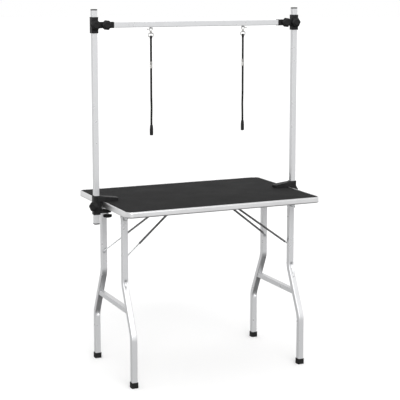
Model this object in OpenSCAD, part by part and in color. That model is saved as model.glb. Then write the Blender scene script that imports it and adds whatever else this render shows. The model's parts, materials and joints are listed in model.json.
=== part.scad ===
// Folding pet grooming table with a clamp-on overhead bar and two nooses.
// Millimetres. +Z is up, +X runs along the long side, and the table stands on Z = 0.
// Every left-hand part is modelled at negative X; most are mirrored for the right-hand side.

/* [Table top] */
// Length of the table top
table_l = 915; // [860:5:1000]
// Width of the table top
table_w = 620; // [600:5:660]
// Height of the mat's surface above the floor
table_h = 775; // [760:5:800]
// Radius of the rounded corners
corner_r = 30; // [25:1:50]
// Height of the aluminium edge band
band_h = 25; // [22:1:30]
// Thickness of the rubber mat
mat_t = 2.5; // [2:0.5:4]

/* [Leg frames] */
// Side of the square leg tube
leg_w = 25; // [22:1:26]
// Distance of each leg frame from the middle of the table
leg_x = 403; // [390:1:415]
// Distance of a leg's upper part from the long centreline
leg_y_top = 131; // [125:1:140]
// Distance of a leg's lower part from the long centreline
leg_y_foot = 232; // [220:1:245]
// Height of the corner where a leg starts to flare out
flare_top = 430; // [415:1:445]
// Height of the corner where a leg turns down again
flare_bottom = 221; // [210:1:235]
// Height of the crossbar's centre
crossbar_z = 322; // [310:1:335]
// Side of the square crossbar tube
crossbar_w = 22; // [18:1:24]

/* [Posts and overhead bar] */
// Side of the square post and bar tube
post_w = 23; // [22:0.5:24]
// Distance of each post's axis from the middle of the table
post_x = 481.5; // [479:0.5:486]
// Height of the post's top, over its cap
post_top = 1600; // [1560:5:1650]
// Height of the post's bottom, under its cap
post_bottom = 675; // [660:5:690]
// Height of the overhead bar's axis
bar_z = 1533; // [1500:1:1550]
// Distance of each noose from the middle of the bar
noose_x = 222; // [180:1:260]

/* [Stays] */
// Distance of a stay's upper pivot from the middle of the table
stay_x = 128.5; // [120:0.5:140]
// Distance of a stay's upper pivot from the long centreline
stay_y = 47; // [40:1:55]
// Height of the leg stud that a stay hooks on to
stud_z = 523; // [515:1:530]

/* [Hidden] */
$fn = 48;

// Table top
lip_rise = 1;
top_lip_w = 5;
bottom_lip_w = 10;
bottom_lip_t = 1.5;
band_t = 2;
board_gap = 0.2;
band_top = table_h + lip_rise;
band_z = band_top - band_h;
board_z = band_z + bottom_lip_t;
board_top = table_h - mat_t;
edge_x = table_l / 2;

// Legs
leg_r = 3;
leg_wall = 1.5;
bend_r = 70;
bend_lap = 0.6;
bend_pinch = 0.5;
hinge_z = board_z - 32.5;
leg_top = hinge_z + 13;
flare_a = atan((leg_y_foot - leg_y_top) / (flare_top - flare_bottom));
bend_t = bend_r * tan(flare_a / 2);
flare_len = norm([leg_y_foot - leg_y_top, flare_top - flare_bottom]) - 2 * bend_t;
foot_w = 30;
foot_h = 24;
foot_floor = 4;
crossbar_wall = 1.5;

// Hinge brackets and their bolts
cheek_gap = 0.5;
cheek_t = 2.5;
cheek_r = 12;
plate_t = 2.5;
plate_l = 68;
bolt_r = 4;
fit = 0.05;
hex_r = 7.5;
bolt_head_h = 5.5;
nut_h = 6.5;
screw_r = 2.2;
screw_head_r = 4.5;
screw_head_h = 2;
screw_len = 12;
plate_screw_x = 27;

// Stays
pivot_z = board_z - 15.5;
ear_gap = 0.3;
ear_t = 2;
ear_r = 7;
ear_plate_l = 40;
ear_screw_x = 15;
eye_r = 6;
eye_w = 7.4;
stay_pin_r = 3;
rod_r = 2.5;
stud_r = 3;
stud_gap = 0.3;
hook_r = stud_r + stud_gap + rod_r;
hook_rod_r = rod_r - 0.1;
hook_lap = 2;
hook_end_a = 235;
hook_y = 113;
spring_r = 4.8;
spring_bore = 2.8;
// Share of the rod, from the hook upwards, that the spring leaves bare
bare_left = 0.31;
bare_right = 0.06;
bare_top = 0.035;

// Posts, sleeves and lock knobs
post_wall = 1.2;
post_r = 2;
slide_gap = 0.4;
cap_t = 5;
plug_h = 12;
sleeve_w = 30;
sleeve_r = 3;
boss_r = 9;
lock_stud_r = 4;
lock_gap = 0.5;
knob_r = 22;
knob_h = 12.5;

// Table clamps
clamp_top = table_h + 26;
clamp_bottom = table_h - 57;
jaw_reach = 98;
jaw_w = 38;
jaw_tip_t = 12.5;
jaw_root_t = 24;
jaw_pad_x = 36;
jaw_round = 10;
jaw_edge = 7;
rib_w = 10;
arm_w = 32;
arm_lift = 6;
arm_t = 12;
screw_x = 51;
lock_z = table_h - 19;
lock_corner = 19.9;
lock_reach = 21;
post_corner = 15.9;
spindle_r = 5;
spindle_tip_r = 4;
pad_r = 14;
pad_t = 5.8;
pad_gap = 0.3;
pad_bore_h = 3;
screw_knob_r = 21;
screw_knob_h = 14;
screw_knob_drop = 3;
screw_knob_bore = 7;

// Tees
tee_h = 34;
tee_arm_w = 27;
tee_arm_end = 86;
tee_bore_start = 30;
bar_end_gap = 1;
bar_gap = 0.15;
tee_fillet = 9;
bar_knob_x = 50;
tee_boss = 2;

// Nooses, measured down from the bar's underside
bar_under = bar_z - post_w / 2;
eye_wire_r = 1.5;
eye_bend_r = 6;
eye_drop = 7.5;
bow_wire_r = 1.75;
bow_half_w = 8;
bow_bend_r = 3;
bow_lap = 2;
bow_rod_r = 1.65;
bow_z = eye_drop - eye_wire_r - bow_wire_r - 0.3;
hub_r = 5;
hub_top = 18.5;
hub_bottom = 25;
hub_floor = 2.5;
hub_roof = 1.5;
hub_cavity_r = 3.6;
stem_r = 2;
stem_head_r = 3.2;
prong_x = 2.2;
prong_root = 19.5;
barrel_len = 5.2;
barrel_r = 2.6;
gate_r = 1.4;
gate_bore_start = 1;
gate_start = 4.6;
gate_gap = 0.4;
stub_at = 9.8;
loop_w = 21.5;
loop_top = 27.1;
loop_bottom = 42.2;
loop_bend_r = 3.5;
strand_r = 2.4;
strand_x = 3;
wrap_r = bow_wire_r + strand_r + 0.2;
lock_top = 149;
lock_h = 30;
sleeve_top = 426;
sleeve_h = 46;
// Route of a noose's doubled cord: sideways and down from the bar's underside
cord_route = [
    [0, -50], [0, -62], [0, -75], [0, -100], [0, -125], [0, -150],
    [0, -175], [0, -200], [0, -225], [0, -250], [0, -275], [0, -300],
    [0.5, -325], [1, -350], [0.5, -375], [0, -400], [0, -420], [0, -440],
];
// Half-width and half-depth of the doubled cord at its top and over the rest
cord_top_size = [6, 7];
cord_size = [4.75, 2.4];
cord_sides = 12;
cord_blend = 3;

// ---- Shared shapes ----

// Square outline with rounded corners
module soft_square(w, r) {
    soft_rectangle(w, w, r);
}

module soft_rectangle(l, w, r) {
    square([l - 2 * r, w], center = true);
    square([l, w - 2 * r], center = true);
    for (x = [-1, 1], y = [-1, 1])
        translate([x * (l / 2 - r), y * (w / 2 - r)]) circle(r);
}

// Outline with two round ends
module stadium(half_w, half_d) {
    square([2 * (half_w - half_d), 2 * half_d], center = true);
    for (x = [-1, 1]) translate([x * (half_w - half_d), 0]) circle(half_d);
}

// Round bar from one point to another
module round_bar(a, b, r) {
    v = b - a;
    translate(a) rotate([0, acos(v[2] / norm(v)), atan2(v[1], v[0])]) cylinder(r = r, h = norm(v));
}

// Turns local X, Y and Z to global Y, Z and X
module along_x() {
    rotate([90, 0, 90]) children();
}

// Turns local Z to global Y, with local X kept
module along_y() {
    rotate([-90, 0, 0]) children();
}

module on_side(side) {
    if (side == "right") mirror([1, 0, 0]) children();
    else children();
}

// The two clamps are one part: the right-hand one is turned half round, not mirrored
module clamp_side(side) {
    rotate([0, 0, side == "right" ? 180 : 0]) translate([-post_x, 0, 0]) children();
}

// Six-sided hand knob along Z, with softened edges and a domed face
module hand_knob(r, h) {
    intersection() {
        cylinder(r = r, h = h, $fn = 6);
        rotate_extrude() polygon([
            [0, 0], [r - 3, 0], [r - 0.6, 2], [r - 0.6, h * 0.45],
            [r - 4, h * 0.8], [r - 8, h], [0, h],
        ]);
    }
}

// Knob with its threaded stud along Z; the stud reaches back from the knob's base
module lock_knob(stud_len) {
    hand_knob(knob_r, knob_h);
    translate([0, 0, -stud_len]) cylinder(r = lock_stud_r, h = stud_len + 1);
}

// ---- Table top ----

module every_hinge() {
    for (x = [-1, 1], y = [-1, 1]) translate([x * leg_x, y * leg_y_top, 0]) children();
}

module every_stay_pivot() {
    for (x = [-1, 1], y = [-1, 1]) translate([x * stay_x, y * stay_y, 0]) children();
}

module every_screw() {
    every_hinge() for (x = [-1, 1]) translate([x * plate_screw_x, 0, board_z]) children();
    every_stay_pivot() for (x = [-1, 1]) translate([x * ear_screw_x, 0, board_z]) children();
}

module board() {
    color("burlywood") difference() {
        translate([0, 0, board_z]) linear_extrude(board_top - board_z)
            soft_rectangle(table_l - 2 * (band_t + board_gap), table_w - 2 * (band_t + board_gap),
                           corner_r - band_t - board_gap);
        every_screw() translate([0, 0, -1]) cylinder(r = screw_r, h = screw_len + 1, $fn = 24);
    }
}

module mat() {
    color("dimgray") translate([0, 0, board_top]) linear_extrude(mat_t)
        soft_rectangle(table_l - 2 * (top_lip_w + board_gap), table_w - 2 * (top_lip_w + board_gap),
                       corner_r - top_lip_w - board_gap);
}

module edge_band() {
    color("lightgray") difference() {
        translate([0, 0, band_z]) linear_extrude(band_h) soft_rectangle(table_l, table_w, corner_r);
        translate([0, 0, board_z]) linear_extrude(board_top - board_z)
            soft_rectangle(table_l - 2 * band_t, table_w - 2 * band_t, corner_r - band_t);
        translate([0, 0, board_top - 1]) linear_extrude(mat_t + lip_rise + 2)
            soft_rectangle(table_l - 2 * top_lip_w, table_w - 2 * top_lip_w, corner_r - top_lip_w);
        translate([0, 0, band_z - 1]) linear_extrude(bottom_lip_t + 2)
            soft_rectangle(table_l - 2 * bottom_lip_w, table_w - 2 * bottom_lip_w,
                           corner_r - bottom_lip_w);
    }
}

// Side cheek outline, hanging from the plate down round the pivot
module cheek_outline(r, drop, bore) {
    difference() {
        union() {
            circle(r);
            translate([-r, 0]) square([2 * r, drop]);
        }
        circle(bore);
    }
}

module hinge_bracket() {
    cheek_y = leg_w / 2 + cheek_gap;
    difference() {
        translate([-plate_l / 2, -cheek_y - cheek_t, board_z - plate_t])
            cube([plate_l, 2 * (cheek_y + cheek_t), plate_t]);
        for (x = [-1, 1]) translate([x * plate_screw_x, 0, board_z - plate_t - 1])
            cylinder(r = screw_r, h = plate_t + 2, $fn = 24);
    }
    for (y = [-1, 1]) translate([0, y * (cheek_y + cheek_t / 2) + cheek_t / 2, hinge_z])
        rotate([90, 0, 0]) linear_extrude(cheek_t)
            cheek_outline(cheek_r, board_z - plate_t - hinge_z, bolt_r + fit);
}

module hinge_brackets() {
    color("dimgray") every_hinge() hinge_bracket();
}

module hinge_bolts() {
    reach = leg_w / 2 + cheek_gap + cheek_t;
    color("silver") for (y = [-1, 1]) scale([1, y, 1]) for (x = [-1, 1])
        translate([x * leg_x, leg_y_top, hinge_z]) along_y() {
            translate([0, 0, -reach - nut_h - 1]) cylinder(r = bolt_r, h = 2 * reach + nut_h + 2);
            translate([0, 0, -reach - nut_h]) cylinder(r = hex_r, h = nut_h, $fn = 6);
            translate([0, 0, reach]) cylinder(r = hex_r, h = bolt_head_h, $fn = 6);
        }
}

module wood_screw(plate) {
    translate([0, 0, -plate]) cylinder(r = screw_r, h = screw_len + plate - 1, $fn = 24);
    translate([0, 0, -plate - screw_head_h]) cylinder(r = screw_head_r, h = screw_head_h);
}

module bracket_screws() {
    color("silver") {
        every_hinge() for (x = [-1, 1])
            translate([x * plate_screw_x, 0, board_z]) wood_screw(plate_t);
        every_stay_pivot() for (x = [-1, 1])
            translate([x * ear_screw_x, 0, board_z]) wood_screw(ear_t);
    }
}

module stay_bracket() {
    ear_y = eye_w / 2 + ear_gap;
    difference() {
        translate([-ear_plate_l / 2, -ear_y - ear_t, board_z - ear_t])
            cube([ear_plate_l, 2 * (ear_y + ear_t), ear_t]);
        for (x = [-1, 1]) translate([x * ear_screw_x, 0, board_z - ear_t - 1])
            cylinder(r = screw_r, h = ear_t + 2, $fn = 24);
    }
    for (y = [-1, 1]) translate([0, y * (ear_y + ear_t / 2) + ear_t / 2, pivot_z])
        rotate([90, 0, 0]) linear_extrude(ear_t)
            cheek_outline(ear_r, board_z - ear_t - pivot_z, stay_pin_r + fit);
}

module stay_brackets() {
    color("dimgray") every_stay_pivot() stay_bracket();
}

module stay_pins() {
    reach = eye_w / 2 + ear_gap + ear_t;
    color("silver") every_stay_pivot() translate([0, 0, pivot_z]) along_y() {
        translate([0, 0, -reach]) cylinder(r = stay_pin_r, h = 2 * reach);
        for (z = [-reach - 1.5, reach]) translate([0, 0, z]) cylinder(r = stay_pin_r + 1.5, h = 1.5);
    }
}

// ---- Leg frames ----

module leg_section(pinch) {
    difference() {
        soft_square(leg_w - pinch, leg_r);
        soft_square(leg_w - pinch - 2 * leg_wall, leg_r - leg_wall);
    }
}

// Pressed bend round the local Z axis, from local X; it laps into the straight tube at both ends
module leg_bend() {
    rotate([0, 0, -bend_lap]) rotate_extrude(angle = flare_a + 2 * bend_lap)
        translate([bend_r, 0]) leg_section(bend_pinch);
}

// One leg's tube on the positive Y side: straight, flared out, straight again
module leg_tube() {
    translate([0, leg_y_top, flare_top + bend_t]) linear_extrude(leg_top - flare_top - bend_t)
        leg_section(0);
    translate([0, leg_y_top + bend_r, flare_top + bend_t]) along_x() rotate([0, 0, 180]) leg_bend();
    translate([0, leg_y_foot - bend_r, flare_bottom - bend_t]) along_x() {
        leg_bend();
        translate([bend_r * cos(flare_a), bend_r * sin(flare_a), 0])
            rotate([-90, 0, flare_a]) linear_extrude(flare_len) leg_section(0);
    }
    translate([0, leg_y_foot, foot_floor]) linear_extrude(flare_bottom - bend_t - foot_floor)
        leg_section(0);
}

module leg(side, y_sign) {
    color("gainsboro") on_side(side) translate([-leg_x, 0, 0]) scale([1, y_sign, 1]) difference() {
        leg_tube();
        translate([0, leg_y_top - leg_w, hinge_z]) along_y()
            cylinder(r = bolt_r + fit, h = 2 * leg_w);
    }
}

// Distance from the centreline to a flared leg's inner face at height z
function leg_inner_y(z) =
    leg_y_top + (flare_top - z) * tan(flare_a) - leg_w / 2 / cos(flare_a);

module crossbar_run(w, extra) {
    low = crossbar_z - w / 2;
    high = crossbar_z + w / 2;
    translate([-w / 2, 0, 0]) along_x() linear_extrude(w) polygon([
        [-leg_inner_y(low) - extra, low], [leg_inner_y(low) + extra, low],
        [leg_inner_y(high) + extra, high], [-leg_inner_y(high) - extra, high],
    ]);
}

module crossbar(side) {
    color("gainsboro") on_side(side) translate([-leg_x, 0, 0]) difference() {
        crossbar_run(crossbar_w, 0);
        crossbar_run(crossbar_w - 2 * crossbar_wall, 1);
    }
}

module feet(side) {
    color([0.1, 0.1, 0.1]) on_side(side) for (y = [-1, 1])
        translate([-leg_x, y * leg_y_foot, 0]) difference() {
            linear_extrude(foot_h) soft_square(foot_w, leg_r + 1);
            translate([0, 0, foot_floor]) linear_extrude(foot_h)
                soft_square(leg_w + 2 * board_gap, leg_r + board_gap);
        }
}

module stay_studs(side) {
    face = leg_y_top - leg_w / 2;
    color("silver") on_side(side) for (y = [-1, 1]) scale([1, y, 1])
        translate([-leg_x, 0, stud_z]) along_y() {
            translate([0, 0, face - 11]) cylinder(r = stud_r, h = 11);
            translate([0, 0, face - 13]) cylinder(r = stud_r + 1.5, h = 2);
        }
}

// ---- Stays ----

// Angles in the XZ plane, for the left front stay seen from the front
stay_rise = pivot_z - stud_z;
stay_run = leg_x - stay_x;
tangent_a = atan2(stay_rise, stay_run) + acos(hook_r / norm([stay_rise, stay_run]));
hook_start = [-leg_x + hook_r * cos(tangent_a), hook_y, stud_z + hook_r * sin(tangent_a)];
eye_centre = [-stay_x, stay_y, pivot_z];

function along_stay(share) = hook_start + share * (eye_centre - hook_start);

module stay_rod(side, y_sign) {
    color("silver") on_side(side) scale([1, y_sign, 1]) difference() {
        union() {
            round_bar(hook_start, eye_centre, rod_r);
            translate([-leg_x, hook_y, stud_z]) rotate([90, hook_lap - tangent_a, 0])
                rotate_extrude(angle = hook_end_a - tangent_a + hook_lap)
                    translate([hook_r, 0]) circle(hook_rod_r);
            translate(eye_centre - [0, eye_w / 2, 0]) along_y() cylinder(r = eye_r, h = eye_w);
        }
        translate(eye_centre - [0, eye_w, 0]) along_y()
            cylinder(r = stay_pin_r + fit, h = 2 * eye_w);
    }
}

module stay_spring(side, y_sign, bare) {
    low = along_stay(bare);
    high = along_stay(1 - bare_top);
    color([0.12, 0.12, 0.12]) on_side(side) scale([1, y_sign, 1]) difference() {
        round_bar(low, high, spring_r);
        round_bar(along_stay(bare - 0.02), along_stay(1 - bare_top + 0.02), spring_bore);
    }
}

// ---- Table clamps ----

module post_bore(low, high) {
    translate([0, 0, low - 1]) linear_extrude(high - low + 2)
        soft_square(post_w + 2 * slide_gap, post_r + slide_gap);
}

// Side view of the upper jaw: a wedge that thins towards its tip
module jaw_side() {
    under = band_top + 0.2;
    polygon([
        [0, under], [jaw_pad_x, under], [jaw_pad_x, table_h + 0.1], [jaw_reach - 4, table_h + 0.1],
        [jaw_reach, table_h + 4], [jaw_reach, table_h + jaw_tip_t], [sleeve_w / 2, table_h + jaw_root_t],
        [0, table_h + jaw_root_t],
    ]);
}

// End view of the upper jaw: its top edges are cut back towards the root
module jaw_end() {
    top = jaw_root_t + 1;
    polygon([
        [-jaw_w / 2, table_h], [jaw_w / 2, table_h], [jaw_w / 2, table_h + top - jaw_edge - 1],
        [jaw_w / 2 - jaw_edge, table_h + top], [jaw_edge - jaw_w / 2, table_h + top],
        [-jaw_w / 2, table_h + top - jaw_edge - 1],
    ]);
}

// Turns local Z to the direction of the lock knob, outwards from a corner of the post
module to_lock() {
    translate([0, 0, lock_z]) rotate([0, 90, 225]) children();
}

module clamp_body(side) {
    edge = post_x - edge_x;
    color([0.11, 0.11, 0.11]) clamp_side(side) difference() {
        union() {
            translate([0, 0, clamp_bottom]) linear_extrude(clamp_top - clamp_bottom)
                soft_square(sleeve_w, sleeve_r);
            intersection() {
                translate([0, jaw_w / 2, 0]) rotate([90, 0, 0]) linear_extrude(jaw_w) jaw_side();
                translate([-1, 0, 0]) along_x() linear_extrude(jaw_reach + 2) jaw_end();
                linear_extrude(clamp_top) translate([jaw_reach / 2 - jaw_round, 0])
                    soft_rectangle(jaw_reach + 2 * jaw_round, jaw_w, jaw_round);
            }
            translate([0, -rib_w / 2, clamp_bottom + arm_lift + 1])
                cube([edge - 0.2, rib_w, table_h - clamp_bottom - arm_lift + 6]);
            translate([0, 0, clamp_bottom + arm_lift]) linear_extrude(arm_t) union() {
                translate([0, -arm_w / 2]) square([screw_x, arm_w]);
                translate([screw_x, 0]) circle(arm_w / 2);
            }
            to_lock() translate([0, 0, lock_corner - 6])
                cylinder(r = boss_r, h = lock_reach - lock_corner + 6);
        }
        post_bore(clamp_bottom, clamp_top);
        translate([screw_x, 0, clamp_bottom]) cylinder(r = spindle_r + fit, h = arm_lift + arm_t + 1);
        to_lock() cylinder(r = lock_stud_r + fit, h = sleeve_w);
    }
}

pad_top = board_z - pad_gap;

module clamp_pad(side) {
    color([0.08, 0.08, 0.08]) clamp_side(side) translate([screw_x, 0, pad_top - pad_t])
        difference() {
            cylinder(r = pad_r, h = pad_t);
            translate([0, 0, -1]) cylinder(r = spindle_tip_r + fit, h = pad_bore_h + 1);
        }
}

module clamp_screw(side) {
    shoulder = pad_top - pad_t - 0.3;
    bottom = clamp_bottom - screw_knob_drop - screw_knob_bore;
    color("silver") clamp_side(side) translate([screw_x, 0, bottom]) {
        cylinder(r = spindle_r, h = shoulder - bottom);
        cylinder(r = spindle_tip_r, h = shoulder - bottom + pad_bore_h);
    }
}

module clamp_knob(side) {
    top = clamp_bottom - screw_knob_drop;
    color([0.1, 0.1, 0.1]) clamp_side(side) translate([screw_x, 0, top]) difference() {
        mirror([0, 0, 1]) hand_knob(screw_knob_r, screw_knob_h);
        translate([0, 0, -screw_knob_bore]) cylinder(r = spindle_r + fit, h = screw_knob_bore + 1);
    }
}

module post_lock_knob(side) {
    base = lock_reach + lock_gap;
    color([0.1, 0.1, 0.1]) clamp_side(side) to_lock()
        translate([0, 0, base]) rotate([0, 0, 30]) lock_knob(base - post_corner);
}

// ---- Posts, tees and bar ----

module square_tube(len) {
    linear_extrude(len) difference() {
        soft_square(post_w, post_r);
        soft_square(post_w - 2 * post_wall, post_r - post_wall);
    }
}

module post(side) {
    color("gainsboro") on_side(side) translate([-post_x, 0, post_bottom + cap_t])
        square_tube(post_top - post_bottom - 2 * cap_t);
}

module post_cap() {
    linear_extrude(cap_t) soft_square(post_w, post_r);
    translate([0, 0, cap_t]) linear_extrude(plug_h)
        soft_square(post_w - 2 * post_wall - 0.4, post_r - post_wall);
}

module post_caps(side) {
    color([0.15, 0.15, 0.15]) on_side(side) translate([-post_x, 0, 0]) {
        translate([0, 0, post_bottom]) post_cap();
        translate([0, 0, post_top]) mirror([0, 0, 1]) post_cap();
    }
}

module tee_fillets() {
    for (z = [-1, 1]) scale([1, 1, z]) difference() {
        translate([sleeve_w / 2 - 1, -tee_arm_w / 2 + leg_r, tee_arm_w / 2 - 1])
            cube([tee_fillet + 1, tee_arm_w - 2 * leg_r, tee_fillet + 1]);
        translate([sleeve_w / 2 + tee_fillet, -tee_arm_w, tee_arm_w / 2 + tee_fillet]) along_y()
            cylinder(r = tee_fillet, h = 2 * tee_arm_w);
    }
}

module tee(side) {
    color([0.11, 0.11, 0.11]) on_side(side) translate([-post_x, 0, bar_z]) difference() {
        union() {
            translate([0, 0, -tee_h]) linear_extrude(2 * tee_h) soft_square(sleeve_w, sleeve_r);
            along_x() linear_extrude(tee_arm_end) soft_square(tee_arm_w, sleeve_r);
            tee_fillets();
            translate([0, -sleeve_w / 2 - tee_boss, 0]) along_y() cylinder(r = boss_r, h = tee_boss + 1);
            translate([bar_knob_x, -tee_arm_w / 2 - tee_boss, 0]) along_y()
                cylinder(r = boss_r, h = tee_boss + 1);
        }
        post_bore(-tee_h, tee_h);
        translate([tee_bore_start, 0, 0]) along_x() linear_extrude(tee_arm_end)
            soft_square(post_w + 2 * bar_gap, post_r + bar_gap);
        for (x = [0, bar_knob_x]) translate([x, -sleeve_w, 0]) along_y()
            cylinder(r = lock_stud_r + fit, h = sleeve_w);
    }
}

module tee_post_knob(side) {
    base = sleeve_w / 2 + tee_boss + lock_gap;
    color([0.1, 0.1, 0.1]) on_side(side) translate([-post_x, -base, bar_z])
        rotate([90, 0, 0]) lock_knob(base - post_w / 2 - lock_gap);
}

module tee_bar_knob(side) {
    base = tee_arm_w / 2 + tee_boss + lock_gap;
    color([0.1, 0.1, 0.1]) on_side(side) translate([bar_knob_x - post_x, -base, bar_z])
        rotate([90, 0, 0]) lock_knob(base - post_w / 2 - lock_gap);
}

module bar() {
    half = post_x - tee_bore_start - bar_end_gap;
    color("gainsboro") difference() {
        translate([-half, 0, bar_z]) along_x() square_tube(2 * half);
        for (x = [-1, 1], y = [-1, 1])
            translate([x * noose_x, y * eye_bend_r, bar_under - 1])
                cylinder(r = eye_wire_r, h = post_wall + 2, $fn = 24);
    }
}

// ---- Nooses ----

module at_noose(side) {
    on_side(side) translate([-noose_x, 0, bar_under]) children();
}

module bar_eyes() {
    color("silver") for (side = ["left", "right"]) at_noose(side) {
        translate([0, 0, eye_bend_r - eye_drop]) along_x() rotate([0, 0, 180])
            rotate_extrude(angle = 180) translate([eye_bend_r, 0]) circle(eye_wire_r, $fn = 24);
        for (y = [-1, 1]) translate([0, y * eye_bend_r, eye_bend_r - eye_drop]) {
            cylinder(r = eye_wire_r, h = eye_drop - eye_bend_r + post_wall + 2, $fn = 24);
            translate([0, 0, eye_drop - eye_bend_r + post_wall])
                cylinder(r = eye_wire_r + 1, h = 2, $fn = 24);
        }
    }
}

// The snap hook lies in the XZ plane: a flat top, two bends, and prongs that run in to the hub.
// Each prong is tangent to its bend.
bend_x = bow_half_w - bow_bend_r;
bend_z = -bow_z - bow_bend_r;
bend_run = bend_x - prong_x;
bend_drop = prong_root + bend_z;
bend_a = acos(bow_bend_r / norm([bend_run, bend_drop])) - atan2(bend_drop, -bend_run);
bow_side = [bend_x + bow_bend_r * cos(bend_a), 0, bend_z + bow_bend_r * sin(bend_a)];
prong_low = [-prong_x, 0, -prong_root];
prong_high = [-bow_side[0], 0, bow_side[2]];
prong_len = norm(prong_high - prong_low);

function up_prong(t) = prong_low + t * (prong_high - prong_low) / prong_len;

module bow_bend() {
    translate([bend_x, 0, bend_z]) rotate([90, 0, 0]) rotate([0, 0, bend_a])
        rotate_extrude(angle = 90 - bend_a + bow_lap) translate([bow_bend_r, 0])
            circle(bow_wire_r, $fn = 24);
}

module snap_hook(side) {
    color("silver") at_noose(side) difference() {
        union() {
            round_bar([-bend_x, 0, -bow_z], [bend_x, 0, -bow_z], bow_rod_r);
            bow_bend();
            mirror([1, 0, 0]) bow_bend();
            round_bar([prong_x, 0, -prong_root], bow_side, bow_rod_r);
            round_bar(up_prong(0), up_prong(barrel_len), barrel_r);
            translate([0, 0, -hub_bottom]) cylinder(r = hub_r, h = hub_bottom - hub_top);
        }
        translate([0, 0, -hub_bottom - 1]) cylinder(r = stem_r + fit, h = hub_floor + 2);
        translate([0, 0, -hub_bottom + hub_floor])
            cylinder(r = hub_cavity_r, h = hub_bottom - hub_floor - hub_top - hub_roof);
        round_bar(up_prong(gate_bore_start), up_prong(barrel_len + 1), gate_r + fit);
    }
}

module snap_bolt(side) {
    stub = up_prong(stub_at);
    stub_end = stub + [-8.5, 0, 1];
    color("silver") at_noose(side) {
        round_bar(up_prong(gate_start), up_prong(prong_len - gate_gap), gate_r);
        round_bar(stub, stub_end, 1);
        round_bar(stub_end, stub_end + [-2.7, 0, 0.3], 2.4);
    }
}

module swivel_loop(side) {
    half = loop_w / 2;
    inner = half - loop_bend_r;
    color("silver") at_noose(side) {
        translate([0, 0, -loop_top]) cylinder(r = stem_r, h = loop_top - hub_bottom + hub_floor + 1);
        translate([0, 0, -hub_bottom + hub_floor + 0.3]) cylinder(r = stem_head_r, h = 2);
        for (z = [-loop_top, -loop_bottom])
            round_bar([-inner, 0, z], [inner, 0, z], bow_wire_r);
        for (x = [-1, 1]) {
            round_bar([x * half, 0, -loop_bottom + loop_bend_r], [x * half, 0, -loop_top - loop_bend_r],
                      bow_wire_r);
            for (z = [-1, 1]) scale([x, 1, 1])
                translate([inner, 0, z > 0 ? -loop_top - loop_bend_r : -loop_bottom + loop_bend_r])
                    rotate([90, 0, 0]) rotate([0, 0, z > 0 ? 0 : -90]) rotate_extrude(angle = 90)
                        translate([loop_bend_r, 0]) circle(bow_wire_r, $fn = 24);
        }
    }
}

// Half-width and half-depth of the doubled cord at point i of its route
function cord_section(i) =
    let (t = min(1, i / cord_blend)) cord_top_size + t * (cord_size - cord_top_size);

function cord_ring(i) = [
    for (k = [0 : cord_sides - 1])
        let (a = 360 * k / cord_sides, s = cord_section(i))
        [cord_route[i][0] + s[0] * cos(a), s[1] * sin(a), cord_route[i][1]]
];

module noose_cord(side) {
    rings = len(cord_route);
    points = [for (i = [0 : rings - 1]) each cord_ring(i)];
    top = [for (k = [cord_sides - 1 : -1 : 0]) k];
    bottom = [for (k = [0 : cord_sides - 1]) (rings - 1) * cord_sides + k];
    walls = [
        for (i = [0 : rings - 2], k = [0 : cord_sides - 1])
            let (a = i * cord_sides + k, b = i * cord_sides + (k + 1) % cord_sides)
            [a, b, b + cord_sides, a + cord_sides]
    ];
    color([0.06, 0.06, 0.06]) at_noose(side) {
        polyhedron(points = points, faces = concat([top], [bottom], walls));
        for (x = [-1, 1]) translate([x * strand_x, 0, -loop_bottom]) {
            along_x() rotate_extrude(angle = 180) translate([wrap_r, 0]) circle(strand_r, $fn = 24);
            for (y = [-1, 1]) translate([0, y * wrap_r, loop_bottom + cord_route[0][1] - 3])
                cylinder(r = strand_r, h = 3 - cord_route[0][1] - loop_bottom, $fn = 24);
        }
    }
}

module noose_lock(side) {
    color("lightgray") at_noose(side) translate([0, 0, -lock_top - lock_h]) linear_extrude(lock_h)
        difference() {
            stadium(6.2, 3.9);
            stadium(cord_size[0] + 0.4, cord_size[1] + 0.4);
        }
}

module noose_sleeve(side) {
    pocket = cord_route[len(cord_route) - 1][1];
    color([0.1, 0.1, 0.1]) at_noose(side) difference() {
        union() {
            translate([0, 0, -sleeve_top - sleeve_h]) linear_extrude(sleeve_h - 18) stadium(8, 5);
            hull() {
                translate([0, 0, -sleeve_top - 18]) linear_extrude(0.1) stadium(8, 5);
                translate([0, 0, -sleeve_top - 0.1]) linear_extrude(0.1) stadium(6.2, 3.8);
            }
        }
        translate([0, 0, pocket]) linear_extrude(40)
            stadium(cord_size[0] + 0.1, cord_size[1] + 0.3);
    }
}

// ---- Assembly ----

board();
mat();
edge_band();
hinge_brackets();
hinge_bolts();
bracket_screws();
stay_brackets();
stay_pins();
leg("left", -1);  // front_leg_left
leg("left", 1);  // back_leg_left
crossbar("left");  // crossbar_left
feet("left");  // feet_left
stay_studs("left");  // stay_studs_left
leg("right", -1);  // front_leg_right
leg("right", 1);  // back_leg_right
crossbar("right");  // crossbar_right
feet("right");  // feet_right
stay_studs("right");  // stay_studs_right
stay_rod("left", -1);  // front_stay_rod_left
stay_rod("left", 1);  // back_stay_rod_left
stay_spring("left", -1, bare_left);  // front_stay_spring_left
stay_spring("left", 1, bare_left);  // back_stay_spring_left
stay_rod("right", -1);  // front_stay_rod_right
stay_rod("right", 1);  // back_stay_rod_right
stay_spring("right", -1, bare_right);  // front_stay_spring_right
stay_spring("right", 1, bare_right);  // back_stay_spring_right
clamp_body("left");  // clamp_body_left
clamp_pad("left");  // clamp_pad_left
clamp_screw("left");  // clamp_screw_left
clamp_knob("left");  // clamp_knob_left
post_lock_knob("left");  // post_lock_knob_left
clamp_body("right");  // clamp_body_right
clamp_pad("right");  // clamp_pad_right
clamp_screw("right");  // clamp_screw_right
clamp_knob("right");  // clamp_knob_right
post_lock_knob("right");  // post_lock_knob_right
post("left");  // post_left
post_caps("left");  // post_caps_left
post("right");  // post_right
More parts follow.
